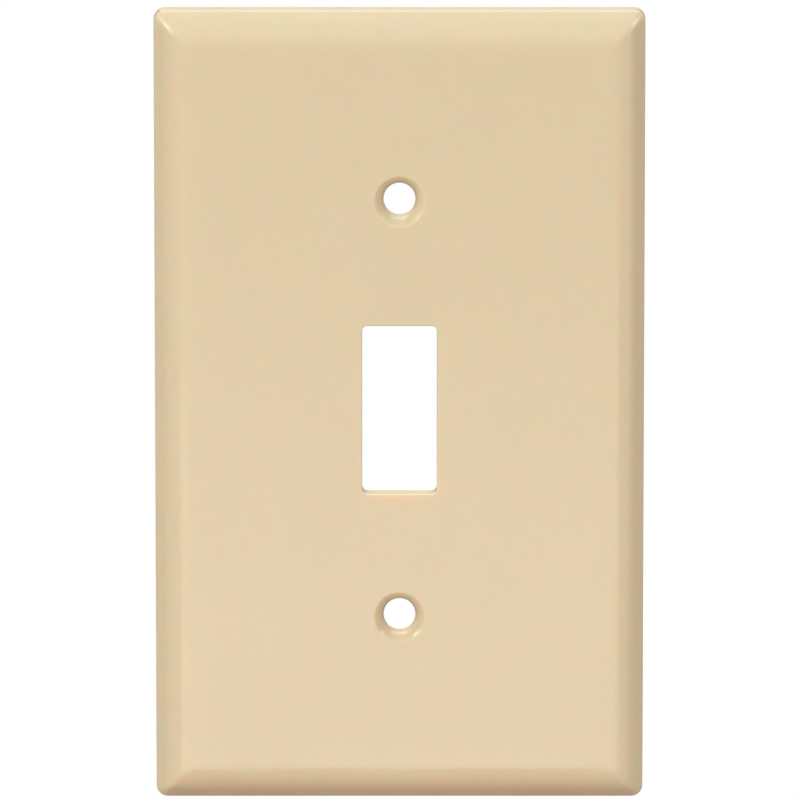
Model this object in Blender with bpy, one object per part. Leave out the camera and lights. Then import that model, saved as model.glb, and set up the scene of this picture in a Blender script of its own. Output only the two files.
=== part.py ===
"""Wall plate for one toggle light switch, moulded in one piece.

The plate stands upright. Its front faces -Y, the rim on its back lies in the
wall plane Y = 0, and +Z is up. The origin is the centre of the back, midway
between the two screw holes. Lengths are in metres.

A "depth" is a distance in front of the wall plane, so a point at depth d has
Y = -d. An "inset" is a distance inwards from the plate's outline.
"""

import math

import bmesh
import bpy

# Outline and front
PLATE_WIDTH = 0.06985
PLATE_HEIGHT = 0.1143
PLATE_DEPTH = 0.00635
CORNER_RADIUS = 0.0017
CREASE_RADIUS = 0.0007
SKIRT_DEPTH = 0.00275
SKIRT_DRAFT = 0.00005
EDGE_RADIUS = 0.0007
BEVEL_SLOPE = math.radians(50)
BEVEL_STRIP = 0.0010
BEVEL_WIDTH = 0.0080

# Recess in the back
RIM_WIDTH = 0.0019
RECESS_DEPTH = 0.0039
RECESS_DRAFT = 0.0001
RECESS_SLOPE_START = 0.0022
RECESS_SLOPE_WIDTH = 0.0022

# Toggle opening and the collar round it
SLOT_WIDTH = 0.0107
SLOT_HEIGHT = 0.0244
SLOT_CORNER_RADIUS = 0.0008
SLOT_EDGE_BREAK = 0.0002
COLLAR_WALL = 0.0013
COLLAR_DEPTH = 0.0034

# Screw holes and the bosses round them
SCREW_SPACING = 0.060325
SINK_RADIUS = 0.00355
SINK_HALF_ANGLE = math.radians(41)
SINK_BORE_RADIUS = 0.0026
BORE_BACK_RADIUS = 0.00225
BOSS_RADIUS = 0.0046
BOSS_DEPTH = 0.0034
BOSS_DRAFT = 0.0002

# Stiffening ribs in the recess
RIB_WIDTH = 0.0010
RIB_DEPTH = 0.0035
RIB_INSET = 0.0024

# How far a joined or cut shape runs past the surface that it meets
OVERLAP = 0.0008
CLEARANCE = 0.0010

# Fineness of the rounded shapes
CORNER_STEPS = 8
EDGE_STEPS = 4
EASE_STEPS = 12
CIRCLE_STEPS = 64
SHARP_ANGLE = math.radians(28)

IVORY = (0.76, 0.63, 0.42, 1.0)
IVORY_ROUGHNESS = 0.35


def clear_scene():
    """Remove whatever objects the scene starts with."""
    for item in list(bpy.data.objects):
        bpy.data.objects.remove(item, do_unlink=True)


def ivory_plastic():
    """Glossy ivory moulding plastic."""
    material = bpy.data.materials.new("ivory_plastic")
    material.use_nodes = True
    shader = material.node_tree.nodes["Principled BSDF"]
    shader.inputs["Base Color"].default_value = IVORY
    shader.inputs["Roughness"].default_value = IVORY_ROUGHNESS
    shader.inputs["Metallic"].default_value = 0.0
    material.diffuse_color = IVORY
    return material


def outer_profile():
    """(inset, depth) from the back edge of the skirt to the flat front face."""
    tail_width = BEVEL_WIDTH - SKIRT_DRAFT - BEVEL_STRIP
    tail_width -= EDGE_RADIUS * (1 - math.sin(BEVEL_SLOPE))
    profile = [(0.0, 0.0)]
    for step in range(EDGE_STEPS + 1):
        slope = math.radians(90) + (BEVEL_SLOPE - math.radians(90)) * step / EDGE_STEPS
        inset = SKIRT_DRAFT + EDGE_RADIUS * (1 - math.sin(slope))
        profile.append((inset, SKIRT_DEPTH + EDGE_RADIUS * math.cos(slope)))
    strip_inset, strip_depth = profile[-1]
    strip_inset += BEVEL_STRIP
    strip_depth += BEVEL_STRIP * math.tan(BEVEL_SLOPE)
    rise = PLATE_DEPTH - strip_depth
    power = tail_width * math.tan(BEVEL_SLOPE) / rise
    for step in range(EASE_STEPS + 1):
        share = step / EASE_STEPS
        inset = strip_inset + tail_width * share
        profile.append((inset, strip_depth + rise * (1 - (1 - share) ** power)))
    return profile


def recess_profile():
    """(inset, depth) from the inner edge of the rim to the recess floor."""
    wall_foot = RIM_WIDTH + RECESS_DRAFT
    return [
        (RIM_WIDTH, 0.0),
        (wall_foot, RECESS_SLOPE_START),
        (wall_foot + RECESS_SLOPE_WIDTH, RECESS_DEPTH),
    ]


def rounded_loop(mesh, width, height, radius, depth):
    """One ring of vertices round a rounded rectangle, clockwise seen from +Y."""
    ring = []
    for quarter in range(4):
        side_x = 1 if quarter in (0, 3) else -1
        side_z = 1 if quarter in (0, 1) else -1
        for step in range(CORNER_STEPS + 1):
            turn = math.radians(90) * (quarter + step / CORNER_STEPS)
            x = side_x * (width / 2 - radius) + radius * math.cos(turn)
            z = side_z * (height / 2 - radius) + radius * math.sin(turn)
            ring.append(mesh.verts.new((x, -depth, z)))
    return ring


def loft(mesh, rings):
    """Join the rings by quads and close both ends."""
    count = len(rings[0])
    for back, front in zip(rings, rings[1:]):
        for i in range(count):
            following = (i + 1) % count
            mesh.faces.new((back[i], back[following], front[following], front[i]))
    mesh.faces.new(rings[0][::-1])
    mesh.faces.new(rings[-1])


def mesh_object(name, mesh):
    """Turn a bmesh into a scene object with its faces pointing out."""
    bmesh.ops.recalc_face_normals(mesh, faces=mesh.faces)
    data = bpy.data.meshes.new(name)
    mesh.to_mesh(data)
    mesh.free()
    item = bpy.data.objects.new(name, data)
    bpy.context.collection.objects.link(item)
    return item


def plate_shell():
    """The bevelled plate with the hollow in its back, before any holes."""
    mesh = bmesh.new()
    rings = []
    for inset, depth in reversed(recess_profile()):
        radius = max(CORNER_RADIUS - inset, CREASE_RADIUS)
        size = (PLATE_WIDTH - 2 * inset, PLATE_HEIGHT - 2 * inset)
        rings.append(rounded_loop(mesh, *size, radius, depth))
    for inset, depth in outer_profile():
        radius = max(CORNER_RADIUS - inset, CREASE_RADIUS)
        size = (PLATE_WIDTH - 2 * inset, PLATE_HEIGHT - 2 * inset)
        rings.append(rounded_loop(mesh, *size, radius, depth))
    loft(mesh, rings)
    return mesh_object("wall_plate", mesh)


def turned(name, profile, height):
    """A solid turned about the line X = 0, Z = height, from (radius, depth) points."""
    mesh = bmesh.new()
    rings = []
    for radius, depth in profile:
        ring = []
        for step in range(CIRCLE_STEPS):
            turn = 2 * math.pi * step / CIRCLE_STEPS
            x = radius * math.cos(turn)
            z = radius * math.sin(turn)
            ring.append(mesh.verts.new((x, -depth, z + height)))
        rings.append(ring)
    loft(mesh, rings)
    return mesh_object(name, mesh)


def block(name, low, high):
    """A plain box between two opposite corners."""
    mesh = bmesh.new()
    bmesh.ops.create_cube(mesh, size=1)
    for vert in mesh.verts:
        for axis in range(3):
            middle = (low[axis] + high[axis]) / 2
            vert.co[axis] = middle + vert.co[axis] * (high[axis] - low[axis])
    return mesh_object(name, mesh)


def screw_boss(name, height):
    """The round boss that backs one screw hole."""
    foot = RECESS_DEPTH + OVERLAP
    return turned(name, [(BOSS_RADIUS - BOSS_DRAFT, BOSS_DEPTH), (BOSS_RADIUS, foot)], height)


def slot_collar():
    """The raised frame that backs the toggle opening."""
    mesh = bmesh.new()
    rings = []
    for depth in (COLLAR_DEPTH, RECESS_DEPTH + OVERLAP):
        width = SLOT_WIDTH + 2 * COLLAR_WALL
        height = SLOT_HEIGHT + 2 * COLLAR_WALL
        rings.append(rounded_loop(mesh, width, height, SLOT_CORNER_RADIUS + COLLAR_WALL, depth))
    loft(mesh, rings)
    return mesh_object("collar", mesh)


def ribs():
    """One upright and one level rib, ending inside the recess's sloping walls."""
    floor = -(RECESS_DEPTH + OVERLAP)
    half_width = PLATE_WIDTH / 2 - RIB_INSET
    half_height = PLATE_HEIGHT / 2 - RIB_INSET
    half_rib = RIB_WIDTH / 2
    upright = block("rib_upright", (-half_rib, floor, -half_height), (half_rib, -RIB_DEPTH, half_height))
    level = block("rib_level", (-half_width, floor, -half_rib), (half_width, -RIB_DEPTH, half_rib))
    return [upright, level]


def slot_cutter():
    """The toggle opening, with its front edge broken at 45 degrees."""
    mesh = bmesh.new()
    rings = []
    stations = [
        (0.0, -CLEARANCE),
        (0.0, PLATE_DEPTH - SLOT_EDGE_BREAK),
        (SLOT_EDGE_BREAK + CLEARANCE, PLATE_DEPTH + CLEARANCE),
    ]
    for growth, depth in stations:
        width = SLOT_WIDTH + 2 * growth
        height = SLOT_HEIGHT + 2 * growth
        rings.append(rounded_loop(mesh, width, height, SLOT_CORNER_RADIUS + growth, depth))
    loft(mesh, rings)
    return mesh_object("slot_cutter", mesh)


def screw_hole_cutter(name, height):
    """A conical countersink above a bore that narrows towards the back."""
    spread = math.tan(SINK_HALF_ANGLE)
    sink_depth = PLATE_DEPTH - (SINK_RADIUS - SINK_BORE_RADIUS) / spread
    profile = [
        (BORE_BACK_RADIUS, -CLEARANCE),
        (BORE_BACK_RADIUS, BOSS_DEPTH + BOSS_DRAFT),
        (SINK_BORE_RADIUS, sink_depth),
        (SINK_RADIUS + CLEARANCE * spread, PLATE_DEPTH + CLEARANCE),
    ]
    return turned(name, profile, height)


def combine(target, tool, operation):
    """Join a tool to the target, or cut the target with it."""
    modifier = target.modifiers.new(tool.name, "BOOLEAN")
    modifier.operation = operation
    modifier.solver = "EXACT"
    modifier.object = tool
    tool.hide_render = True
    tool.display_type = "WIRE"


def shade(item):
    """Smooth shading that keeps the real edges crisp."""
    item.data.shade_smooth()
    item.data.set_sharp_from_angle(angle=SHARP_ANGLE)


def main():
    clear_scene()
    plate = plate_shell()
    screw_heights = {"upper": SCREW_SPACING / 2, "lower": -SCREW_SPACING / 2}
    for rib in ribs():
        combine(plate, rib, "UNION")
    combine(plate, slot_collar(), "UNION")
    for side, height in screw_heights.items():
        combine(plate, screw_boss(side + "_boss", height), "UNION")
    combine(plate, slot_cutter(), "DIFFERENCE")
    for side, height in screw_heights.items():
        combine(plate, screw_hole_cutter(side + "_hole_cutter", height), "DIFFERENCE")
    shade(plate)
    plate.data.materials.append(ivory_plastic())


main()
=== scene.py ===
"""Looks of the toggle switch wall plate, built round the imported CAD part.

The plate stands upright, its front faces -Y and its back rim lies at Y = 0. A
"depth" is a distance in front of the wall plane, so a point at depth d has
Y = -d. An "inset" is a distance inwards from the outline. Lengths are in metres.
"""

import math

import bmesh
import bpy
from mathutils import Matrix, Vector

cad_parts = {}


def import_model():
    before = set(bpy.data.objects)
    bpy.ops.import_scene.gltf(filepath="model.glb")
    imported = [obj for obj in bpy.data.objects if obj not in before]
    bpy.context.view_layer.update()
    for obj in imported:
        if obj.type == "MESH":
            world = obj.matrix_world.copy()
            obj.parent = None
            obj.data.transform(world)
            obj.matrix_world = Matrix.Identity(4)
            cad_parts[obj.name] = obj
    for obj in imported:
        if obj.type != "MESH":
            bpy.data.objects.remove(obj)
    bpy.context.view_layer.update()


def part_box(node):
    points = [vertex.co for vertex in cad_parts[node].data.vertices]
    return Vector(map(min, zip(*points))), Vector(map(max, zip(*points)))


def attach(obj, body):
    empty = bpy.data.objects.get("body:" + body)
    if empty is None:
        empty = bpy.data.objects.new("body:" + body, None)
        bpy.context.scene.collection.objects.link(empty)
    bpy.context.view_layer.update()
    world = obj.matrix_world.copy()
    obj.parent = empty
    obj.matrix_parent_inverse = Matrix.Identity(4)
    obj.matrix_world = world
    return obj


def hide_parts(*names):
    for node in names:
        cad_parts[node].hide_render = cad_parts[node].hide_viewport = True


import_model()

NODE = "wall_plate"
plate_low, plate_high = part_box(NODE)
WIDTH = plate_high.x - plate_low.x
HEIGHT = plate_high.z - plate_low.z
DEPTH = plate_high.y - plate_low.y

# Outline, skirt, bevel and the slight crown of the face inside it
CORNER_RADIUS = 0.0017
CREASE_RADIUS = 0.0007
SKIRT_DEPTH = 0.00275
SKIRT_DRAFT = 0.00005
EDGE_RADIUS = 0.0007
BEVEL_SLOPE = math.radians(50)
BEVEL_STRIP = 0.0010
BEVEL_WIDTH = 0.0080
CROWN_END = 0.0120
CROWN_DROP = 0.00005

# Recess in the back
RIM_WIDTH = 0.0019
RIM_EDGE = 0.00015
RECESS_DEPTH = 0.0039
RECESS_DRAFT = 0.0001
RECESS_SLOPE_START = 0.0022
RECESS_SLOPE_WIDTH = 0.0022
RECESS_FILLET = 0.0006
RECESS_MARGIN = 0.0011

# Toggle opening and its collar
SLOT_WIDTH = 0.0107
SLOT_HEIGHT = 0.0244
SLOT_CORNER_RADIUS = 0.0008
SLOT_EDGE = 0.0002
SLOT_DRAFT = 0.00003
COLLAR_WALL = 0.0013
COLLAR_DEPTH = 0.0034

# Screw holes and their bosses
SCREW_SPACING = 0.060325
SINK_RADIUS = 0.00355
SINK_HALF_ANGLE = math.radians(41)
SINK_EDGE = 0.0006
SINK_BOWL = 0.0026
SINK_BORE_RADIUS = 0.0026
BORE_BACK_RADIUS = 0.00222
BOSS_RADIUS = 0.0046
BOSS_DEPTH = 0.0034

# Small fillets and the draft shared by the collar and the bosses
FOOT_FILLET = 0.00025
TOP_FILLET = 0.00015
WALL_DRAFT = 0.0001

# Width of the flat ring kept round each opening and mark. The flat fill starts outside it.
MARGIN = 0.0007

# Ribs and ejector-pin marks in the recess
RIB_WIDTH = 0.0010
RIB_DEPTH = 0.0035
RIB_DRAFT = 0.00008
RIB_FILLET = 0.00018
RIB_INSET = 0.0024
PIN_RADIUS = 0.0025
PIN_EDGE = 0.00012
PIN_SINK = 0.00018
PIN_SIDE = 0.021
PIN_RISE = 0.044
PIN_PLACES = [(x, z) for x in (-PIN_SIDE, PIN_SIDE) for z in (-PIN_RISE, PIN_RISE)]

# How far a rib runs into what it meets
OVERLAP = 0.0006

# Fineness of the rounded shapes. A side's stations are shares of half its straight length.
CORNER_STEPS = 12
FILLET_STEPS = 6
EASE_STEPS = 26
CROWN_STEPS = 8
CIRCLE_STEPS = 96
SIDE_STATIONS = (-0.985, -0.93, -0.75, -0.5, -0.25, 0.0, 0.25, 0.5, 0.75, 0.93, 0.985)
QUARTER_TURN = math.radians(90)
SHARP_ANGLE = math.radians(35)

# A face whose normal has more than this along +Y belongs to the back
BACKWARD_TILT = 0.02

# Finish
WHITE = (1, 1, 1, 1)
IVORY_PALE = (0.745, 0.642, 0.430, 1)
IVORY_WARM = (0.739, 0.636, 0.424, 1)
IVORY_BACK = (0.735, 0.615, 0.400, 1)
PLASTIC_IOR = 1.5
SCATTER_SCALE = 0.001
SCATTER_RADII = (2.0, 0.8, 0.5)

# The middle of a noise's range, and each noise as its feature size in metres and its detail
NOISE_LOW = 0.3
NOISE_HIGH = 0.7
CLOUD_NOISE = (0.009, 5)
POLISH_NOISE = (0.014, 3)
WAVE_NOISE = (0.0030, 2)
GRAIN_NOISE = (0.0005, 2)
DULL_NOISE = (0.006, 4)
SWIRL_NOISE = (0.004, 3)
TEXTURE_NOISE = (0.0006, 2)

# Roughness in front and behind, and the heights of the fine relief
POLISHED = (0.13, 0.18)
DULL = (0.36, 0.50)
WAVE_HEIGHT = 0.000008
GRAIN_HEIGHT = 0.0000012
SWIRL_HEIGHT = 0.000012
TEXTURE_HEIGHT = 0.000014

# Glow of the surroundings, graded between two values of a direction's Y
GLOW_FRONT_Y = -1.0
GLOW_BEHIND_Y = 0.2
GLOW_IN_FRONT = 0.675
GLOW_BEHIND = 0.30

# Floor
FLOOR_HEIGHT = -1.4
FLOOR_RADIUS = 3.0
FLOOR_BOUNCE = (0.31, 0.18, 0.165, 1)

# Lights, as azimuth and elevation in degrees, distance, width and height in metres,
# watts and colour. Azimuth 0 is straight in front of the plate, and positive to its right.
LIGHTS = {
    "front_high": (0, 40, 2.4, 2.4, 0.9, 5.0, (0.90, 0.96, 1.0)),
    "front_mid": (0, 15, 2.4, 2.4, 0.9, 3.4, (0.99, 0.98, 1.0)),
    "left_key": (-50, 27, 2.4, 0.9, 0.9, 18.8, (0.96, 0.98, 1.0)),
    "right_side": (65, 5, 2.4, 1.2, 1.6, 6.0, (1.0, 0.89, 0.84)),
    "top": (0, 64, 2.4, 2.4, 0.8, 2.4, (0.65, 0.88, 1.0)),
    "overhead": (0, 86, 2.2, 2.0, 0.7, 1.3, (0.95, 1.0, 1.0)),
    "behind_top": (0, 117, 2.2, 2.4, 1.8, 29.0, (0.90, 0.96, 1.0)),
    "low_card": (0, -18.6, 2.2, 2.6, 0.6, 9.2, (1.0, 0.99, 0.96)),
    "low_deep": (0, -42, 2.0, 1.6, 0.6, 1.8, (1.0, 0.62, 0.54)),
}
# A soft fill from above and behind that shows in no reflection
FILLS = {
    "behind": (0, 143, 2.2, 2.2, 1.4, 21.0, (0.94, 0.96, 1.0)),
}
# Thin strips that show only as reflections: two along the bevel's upper corner
# creases, and one on the surfaces that face straight up
GLINTS = {
    "left_glint": (-72, 35, 2.4, 1.3, 0.3, 16.0, (1.0, 1.0, 1.0)),
    "right_glint": (72, 35, 2.4, 1.3, 0.3, 16.0, (1.0, 1.0, 1.0)),
    "rear_glint": (0, 166, 2.2, 2.2, 0.5, 1.2, (1.0, 0.86, 0.66)),
}

# Camera, with its elevation in degrees and its sensor in millimetres. It looks at a point just
# off the plate's centre, where its frame is a little taller than the plate.
CAMERA_ELEVATION = 11.0
CAMERA_DISTANCE = 1.6
SENSOR = 36.0
FRAME_GROWTH = 1.0005
FRAME_HEIGHT = HEIGHT * FRAME_GROWTH
AIM_SIDE = 0.00007
AIM_HEIGHT = 0.00027


def filleted(points, radii):
    """A polyline with its inner corners rounded, one radius for each of them."""
    path = [Vector(points[0])]
    for before, corner, after, radius in zip(points, points[1:], points[2:], radii):
        corner = Vector(corner)
        back = (Vector(before) - corner).normalized()
        onward = (Vector(after) - corner).normalized()
        half = back.angle(onward) / 2
        reach = radius / math.tan(half)
        centre = corner + (back + onward).normalized() * radius / math.sin(half)
        start = corner + back * reach - centre
        turn = start.angle_signed(corner + onward * reach - centre)
        for step in range(FILLET_STEPS + 1):
            spoke = start.copy()
            spoke.rotate(Matrix.Rotation(-turn * step / FILLET_STEPS, 2))
            path.append(centre + spoke)
    path.append(Vector(points[-1]))
    return path


def edge_reach():
    """How far the rounded edge runs along the skirt, and along the bevel too."""
    return EDGE_RADIUS * math.tan((QUARTER_TURN - BEVEL_SLOPE) / 2)


def skirt_corner():
    """Where the skirt and the bevel's outer strip would meet if their edge were sharp."""
    return Vector((SKIRT_DRAFT, SKIRT_DEPTH + edge_reach()))


def bevel_path():
    """From the flat middle of the face over its crown and the easing bevel to the outer strip."""
    run = edge_reach() * math.cos(BEVEL_SLOPE) + BEVEL_STRIP
    strip_end = skirt_corner() + Vector((run, run * math.tan(BEVEL_SLOPE)))
    width = BEVEL_WIDTH - strip_end.x
    rise = DEPTH - CROWN_DROP - strip_end.y
    power = width * math.tan(BEVEL_SLOPE) / rise
    path = []
    for step in range(CROWN_STEPS):
        share = step / CROWN_STEPS
        inset = CROWN_END + (BEVEL_WIDTH - CROWN_END) * share
        path.append(Vector((inset, DEPTH - CROWN_DROP * share * share)))
    for step in range(EASE_STEPS, -1, -1):
        share = step / EASE_STEPS
        inset = strip_end.x + width * share
        path.append(Vector((inset, strip_end.y + rise * (1 - (1 - share) ** power))))
    return path


def outline_path():
    """The plate's section: flat face, bevel, skirt, rim, recess wall and recess floor."""
    bevel = bevel_path()
    wall_foot = RIM_WIDTH + RECESS_DRAFT
    floor_start = wall_foot + RECESS_SLOPE_WIDTH
    corners = [
        tuple(bevel[-1]),
        tuple(skirt_corner()),
        (0.0, 0.0),
        (RIM_WIDTH, 0.0),
        (wall_foot, RECESS_SLOPE_START),
        (floor_start, RECESS_DEPTH),
        (floor_start + RECESS_MARGIN, RECESS_DEPTH),
    ]
    radii = [EDGE_RADIUS, RIM_EDGE, RIM_EDGE, RECESS_FILLET, RECESS_FILLET]
    return bevel[:-1] + filleted(corners, radii)


def slot_path():
    """From the face through the toggle opening and round its collar, as growth and depth."""
    corners = [
        (SLOT_EDGE + MARGIN, DEPTH),
        (0.0, DEPTH),
        (-SLOT_DRAFT, COLLAR_DEPTH),
        (COLLAR_WALL, COLLAR_DEPTH),
        (COLLAR_WALL + WALL_DRAFT, RECESS_DEPTH),
        (COLLAR_WALL + MARGIN, RECESS_DEPTH),
    ]
    return filleted(corners, [SLOT_EDGE, TOP_FILLET, TOP_FILLET, FOOT_FILLET])


def hole_path():
    """From the face through a countersunk hole and round its boss, as radius and depth."""
    sink_depth = DEPTH - (SINK_RADIUS - SINK_BORE_RADIUS) / math.tan(SINK_HALF_ANGLE)
    corners = [
        (SINK_RADIUS + MARGIN, DEPTH),
        (SINK_RADIUS, DEPTH),
        (SINK_BORE_RADIUS, sink_depth),
        (BORE_BACK_RADIUS, BOSS_DEPTH),
        (BOSS_RADIUS - WALL_DRAFT, BOSS_DEPTH),
        (BOSS_RADIUS, RECESS_DEPTH),
        (BOSS_RADIUS + MARGIN, RECESS_DEPTH),
    ]
    return filleted(corners, [SINK_EDGE, SINK_BOWL, TOP_FILLET, TOP_FILLET, FOOT_FILLET])


def rectangle_plan(width, height, radius):
    """Points round a rounded rectangle, with stations along its straight sides."""
    reach_x = width / 2 - radius
    reach_z = height / 2 - radius
    plan = []
    for quarter in range(4):
        side_x = 1 if quarter in (0, 3) else -1
        side_z = 1 if quarter in (0, 1) else -1
        for step in range(CORNER_STEPS + 1):
            turn = QUARTER_TURN * (quarter + step / CORNER_STEPS)
            x = side_x * reach_x + radius * math.cos(turn)
            z = side_z * reach_z + radius * math.sin(turn)
            plan.append((x, z))
        for station in SIDE_STATIONS:
            if quarter in (0, 2):
                plan.append((-side_x * station * reach_x, side_z * height / 2))
            else:
                plan.append((side_x * width / 2, -side_z * station * reach_z))
    return plan


def circle_plan(radius, centre):
    """Points round a circle."""
    plan = []
    for step in range(CIRCLE_STEPS):
        turn = 2 * math.pi * step / CIRCLE_STEPS
        plan.append((centre[0] + radius * math.cos(turn), centre[1] + radius * math.sin(turn)))
    return plan


def ring(mesh, plan, depth):
    """A closed ring of vertices at one depth."""
    return [mesh.verts.new((x, -depth, z)) for x, z in plan]


def strip(mesh, rings):
    """Quads between each ring and the next."""
    for first, second in zip(rings, rings[1:]):
        count = len(first)
        for i in range(count):
            following = (i + 1) % count
            mesh.faces.new((first[i], first[following], second[following], second[i]))


def border(mesh, loop):
    """The edges of one ring."""
    return [mesh.edges.get((a, b)) for a, b in zip(loop, loop[1:] + loop[:1])]


def outline_rings(mesh):
    """The whole margin of the plate, from the front face round to the recess floor."""
    rings = []
    for inset, depth in outline_path():
        radius = max(CORNER_RADIUS - inset, CREASE_RADIUS)
        plan = rectangle_plan(WIDTH - 2 * inset, HEIGHT - 2 * inset, radius)
        rings.append(ring(mesh, plan, depth))
    strip(mesh, rings)
    return rings


def slot_rings(mesh):
    """The toggle opening and its collar."""
    rings = []
    for growth, depth in slot_path():
        plan = rectangle_plan(
            SLOT_WIDTH + 2 * growth, SLOT_HEIGHT + 2 * growth, SLOT_CORNER_RADIUS + growth
        )
        rings.append(ring(mesh, plan, depth))
    strip(mesh, rings)
    return rings


def hole_rings(mesh, height):
    """One screw hole and its boss."""
    rings = [ring(mesh, circle_plan(radius, (0.0, height)), depth) for radius, depth in hole_path()]
    strip(mesh, rings)
    return rings


def pin_mark(mesh, place):
    """A shallow round sink left by an ejector pin, closed at its bottom."""
    path = [
        (PIN_RADIUS + MARGIN, RECESS_DEPTH),
        (PIN_RADIUS, RECESS_DEPTH),
        (PIN_RADIUS - PIN_EDGE, RECESS_DEPTH + PIN_SINK),
    ]
    rings = [ring(mesh, circle_plan(radius, place), depth) for radius, depth in path]
    strip(mesh, rings)
    mesh.faces.new(rings[-1])
    return rings


def new_object(name, mesh):
    """Turn a bmesh into a scene object with its faces pointing out."""
    bmesh.ops.recalc_face_normals(mesh, faces=mesh.faces)
    data = bpy.data.meshes.new(name)
    mesh.to_mesh(data)
    mesh.free()
    item = bpy.data.objects.new(name, data)
    bpy.context.scene.collection.objects.link(item)
    return item


def moulded_shell():
    """The whole plate but its ribs, as one closed mesh."""
    mesh = bmesh.new()
    outline = outline_rings(mesh)
    openings = [slot_rings(mesh)]
    openings += [hole_rings(mesh, side * SCREW_SPACING / 2) for side in (1, -1)]
    marks = [pin_mark(mesh, place) for place in PIN_PLACES]
    front = border(mesh, outline[0])
    back = border(mesh, outline[-1])
    for rings in openings:
        front += border(mesh, rings[0])
        back += border(mesh, rings[-1])
    for rings in marks:
        back += border(mesh, rings[0])
    bmesh.ops.triangle_fill(mesh, use_beauty=True, edges=front, normal=(0, -1, 0))
    bmesh.ops.triangle_fill(mesh, use_beauty=True, edges=back, normal=(0, 1, 0))
    return new_object("moulded_plate", mesh)


def rib_section():
    """(offset from the rib's middle, depth) across one rib, its top corners rounded."""
    half_top = RIB_WIDTH / 2
    half_foot = half_top + RIB_DRAFT
    foot = RECESS_DEPTH + OVERLAP
    corners = [(-half_foot, foot), (-half_top, RIB_DEPTH), (half_top, RIB_DEPTH), (half_foot, foot)]
    return filleted(corners, [RIB_FILLET, RIB_FILLET])


def rib_runs():
    """(upright, start, end) of each straight rib, its ends buried in the walls it runs between."""
    side_end = WIDTH / 2 - RIB_INSET
    top_end = HEIGHT / 2 - RIB_INSET
    collar_side = SLOT_WIDTH / 2 + COLLAR_WALL / 2
    collar_top = SLOT_HEIGHT / 2 + COLLAR_WALL / 2
    boss_low = SCREW_SPACING / 2 - BOSS_RADIUS + OVERLAP
    boss_high = SCREW_SPACING / 2 + BOSS_RADIUS - OVERLAP
    runs = []
    for side in (1, -1):
        runs.append((False, side * collar_side, side * side_end))
        runs.append((True, side * collar_top, side * boss_low))
        runs.append((True, side * boss_high, side * top_end))
    return runs


def ribs():
    """All the ribs as one object of separate closed bars."""
    mesh = bmesh.new()
    section = rib_section()
    for upright, start, end in rib_runs():
        ends = []
        for along in (start, end):
            if upright:
                plan = [(offset, -depth, along) for offset, depth in section]
            else:
                plan = [(along, -depth, offset) for offset, depth in section]
            ends.append([mesh.verts.new(point) for point in plan])
        strip(mesh, ends)
        for loop in ends:
            mesh.faces.new(loop)
    return new_object("ribs", mesh)


def join_ribs(plate):
    """Unite the ribs with the plate and keep the result as the plate's own mesh."""
    bars = ribs()
    union = plate.modifiers.new("ribs", "BOOLEAN")
    union.operation = "UNION"
    union.solver = "EXACT"
    union.object = bars
    graph = bpy.context.evaluated_depsgraph_get()
    joined = bpy.data.meshes.new_from_object(plate.evaluated_get(graph))
    plate.modifiers.clear()
    plate.data = joined
    bpy.data.objects.remove(bars, do_unlink=True)


def finish_surfaces(plate):
    """Smooth shading with crisp edges, glossy where the plate faces out and duller behind."""
    plate.data.materials.clear()
    plate.data.materials.append(ivory_front())
    plate.data.materials.append(ivory_back())
    for face in plate.data.polygons:
        face.material_index = 1 if face.normal.y > BACKWARD_TILT else 0
    plate.data.shade_smooth()
    plate.data.set_sharp_from_angle(angle=SHARP_ANGLE)
    even = plate.modifiers.new("even_shading", "WEIGHTED_NORMAL")
    even.keep_sharp = True


def new_material(name):
    """An empty Principled material and its node tree's nodes and links."""
    material = bpy.data.materials.new(name)
    material.use_nodes = True
    return material, material.node_tree.nodes, material.node_tree.links


def noise(nodes, links, feature, detail):
    """Noise over the object's own coordinates, with features of a given size in metres."""
    place = nodes.new("ShaderNodeTexCoord")
    texture = nodes.new("ShaderNodeTexNoise")
    texture.inputs["Scale"].default_value = 1 / feature
    texture.inputs["Detail"].default_value = detail
    links.new(place.outputs["Object"], texture.inputs["Vector"])
    return texture.outputs["Fac"]


def spread(nodes, links, source, low, high):
    """Map the middle of a noise's range onto the range from low to high."""
    stretch = nodes.new("ShaderNodeMapRange")
    stretch.inputs["From Min"].default_value = NOISE_LOW
    stretch.inputs["From Max"].default_value = NOISE_HIGH
    stretch.inputs["To Min"].default_value = low
    stretch.inputs["To Max"].default_value = high
    links.new(source, stretch.inputs["Value"])
    return stretch.outputs["Result"]


def bump(nodes, links, source, height, below=None):
    """A bump of a given height in metres, laid over another one where one is given."""
    relief = nodes.new("ShaderNodeBump")
    relief.inputs["Distance"].default_value = height
    links.new(source, relief.inputs["Height"])
    if below is not None:
        links.new(below, relief.inputs["Normal"])
    return relief.outputs["Normal"]


def set_plastic(shader):
    """What is the same all over the plastic: its gloss and how far light travels in it."""
    shader.inputs["IOR"].default_value = PLASTIC_IOR
    shader.inputs["Subsurface Weight"].default_value = 1.0
    shader.inputs["Subsurface Scale"].default_value = SCATTER_SCALE
    shader.inputs["Subsurface Radius"].default_value = SCATTER_RADII


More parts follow.
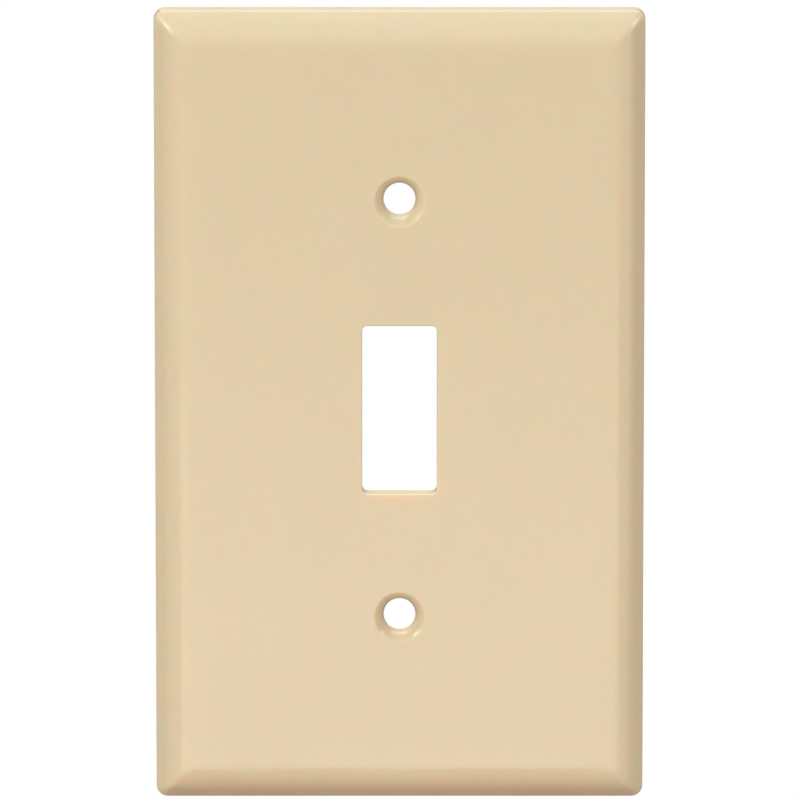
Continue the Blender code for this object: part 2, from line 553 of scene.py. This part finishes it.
def ivory_front():
    """Glossy ivory plastic, faintly clouded, with the slight waviness of a moulded face."""
    material, nodes, links = new_material("ivory_plastic")
    shader = nodes["Principled BSDF"]
    set_plastic(shader)
    tint = nodes.new("ShaderNodeMix")
    tint.data_type = "RGBA"
    tint.inputs["A"].default_value = IVORY_WARM
    tint.inputs["B"].default_value = IVORY_PALE
    clouds = spread(nodes, links, noise(nodes, links, *CLOUD_NOISE), 0.0, 1.0)
    links.new(clouds, tint.inputs["Factor"])
    links.new(tint.outputs["Result"], shader.inputs["Base Color"])
    polish = spread(nodes, links, noise(nodes, links, *POLISH_NOISE), *POLISHED)
    links.new(polish, shader.inputs["Roughness"])
    waves = bump(nodes, links, noise(nodes, links, *WAVE_NOISE), WAVE_HEIGHT)
    grain = bump(nodes, links, noise(nodes, links, *GRAIN_NOISE), GRAIN_HEIGHT, waves)
    links.new(grain, shader.inputs["Normal"])
    return material


def ivory_back():
    """The same plastic off the duller, lightly textured back half of the mould."""
    material, nodes, links = new_material("ivory_plastic_back")
    shader = nodes["Principled BSDF"]
    set_plastic(shader)
    shader.inputs["Base Color"].default_value = IVORY_BACK
    dull = spread(nodes, links, noise(nodes, links, *DULL_NOISE), *DULL)
    links.new(dull, shader.inputs["Roughness"])
    swirl = bump(nodes, links, noise(nodes, links, *SWIRL_NOISE), SWIRL_HEIGHT)
    texture = bump(nodes, links, noise(nodes, links, *TEXTURE_NOISE), TEXTURE_HEIGHT, swirl)
    links.new(texture, shader.inputs["Normal"])
    return material


def seen_as_white(nodes, links, shader, white_type, output):
    """Show plain white to the camera, and this shader to the rest of the scene."""
    seen = nodes.new("ShaderNodeLightPath")
    white = nodes.new(white_type)
    white.inputs["Color"].default_value = WHITE
    white.inputs["Strength"].default_value = 1.0
    mix = nodes.new("ShaderNodeMixShader")
    links.new(seen.outputs["Is Camera Ray"], mix.inputs["Fac"])
    links.new(shader.outputs[0], mix.inputs[1])
    links.new(white.outputs[0], mix.inputs[2])
    links.new(mix.outputs["Shader"], output.inputs["Surface"])


def floor():
    """A pale floor that bounces only a little warm light back at the plate."""
    mesh = bmesh.new()
    bmesh.ops.create_circle(mesh, cap_ends=True, segments=CIRCLE_STEPS, radius=FLOOR_RADIUS)
    item = new_object("floor", mesh)
    item.location.z = FLOOR_HEIGHT
    material, nodes, links = new_material("white_floor")
    nodes.remove(nodes["Principled BSDF"])
    bounce = nodes.new("ShaderNodeBsdfDiffuse")
    bounce.inputs["Color"].default_value = FLOOR_BOUNCE
    seen_as_white(nodes, links, bounce, "ShaderNodeEmission", nodes["Material Output"])
    item.data.materials.append(material)


def world():
    """Soft light from all round, strongest from the front, and plain white for the camera."""
    surroundings = bpy.data.worlds.new("studio")
    surroundings.use_nodes = True
    nodes = surroundings.node_tree.nodes
    links = surroundings.node_tree.links
    background = nodes["Background"]
    background.inputs["Color"].default_value = WHITE
    heading = nodes.new("ShaderNodeTexCoord")
    parts = nodes.new("ShaderNodeSeparateXYZ")
    fall_off = nodes.new("ShaderNodeMapRange")
    fall_off.inputs["From Min"].default_value = GLOW_FRONT_Y
    fall_off.inputs["From Max"].default_value = GLOW_BEHIND_Y
    fall_off.inputs["To Min"].default_value = GLOW_IN_FRONT
    fall_off.inputs["To Max"].default_value = GLOW_BEHIND
    links.new(heading.outputs["Generated"], parts.inputs["Vector"])
    links.new(parts.outputs["Y"], fall_off.inputs["Value"])
    links.new(fall_off.outputs["Result"], background.inputs["Strength"])
    seen_as_white(nodes, links, background, "ShaderNodeBackground", nodes["World Output"])
    bpy.context.scene.world = surroundings


def direction(azimuth, elevation):
    """The unit vector from the plate towards an azimuth and an elevation in degrees."""
    turn = math.radians(azimuth)
    rise = math.radians(elevation)
    return Vector((math.sin(turn) * math.cos(rise), -math.cos(turn) * math.cos(rise), math.sin(rise)))


def aim(item, target, outward, distance):
    """Put an object out along a direction and point its -Z axis back at the target."""
    item.location = target + outward * distance
    item.rotation_mode = "QUATERNION"
    item.rotation_quaternion = outward.to_track_quat("Z", "Y")
    bpy.context.scene.collection.objects.link(item)


def area_light(name, azimuth, elevation, distance, width, height, watts, colour):
    """One rectangular soft box or card, never seen by the camera itself."""
    data = bpy.data.lights.new(name, "AREA")
    data.shape = "RECTANGLE"
    data.size = width
    data.size_y = height
    data.energy = watts
    data.color = colour
    item = bpy.data.objects.new(name, data)
    item.visible_camera = False
    aim(item, Vector(), direction(azimuth, elevation), distance)
    return item


def camera():
    """A long lens in front of the plate and a little above it."""
    data = bpy.data.cameras.new("camera")
    data.sensor_width = SENSOR
    data.lens = SENSOR * CAMERA_DISTANCE / FRAME_HEIGHT
    item = bpy.data.objects.new("camera", data)
    aim(item, Vector((AIM_SIDE, 0, AIM_HEIGHT)), direction(0, CAMERA_ELEVATION), CAMERA_DISTANCE)
    bpy.context.scene.camera = item


bpy.context.scene.view_settings.view_transform = "Standard"
camera()
world()
floor()
for name, place in LIGHTS.items():
    area_light(name, *place)
for name, place in FILLS.items():
    area_light(name, *place).visible_glossy = False
for name, place in GLINTS.items():
    area_light(name, *place).visible_diffuse = False

plate = moulded_shell()
join_ribs(plate)
finish_surfaces(plate)
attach(plate, "root")
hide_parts(NODE)
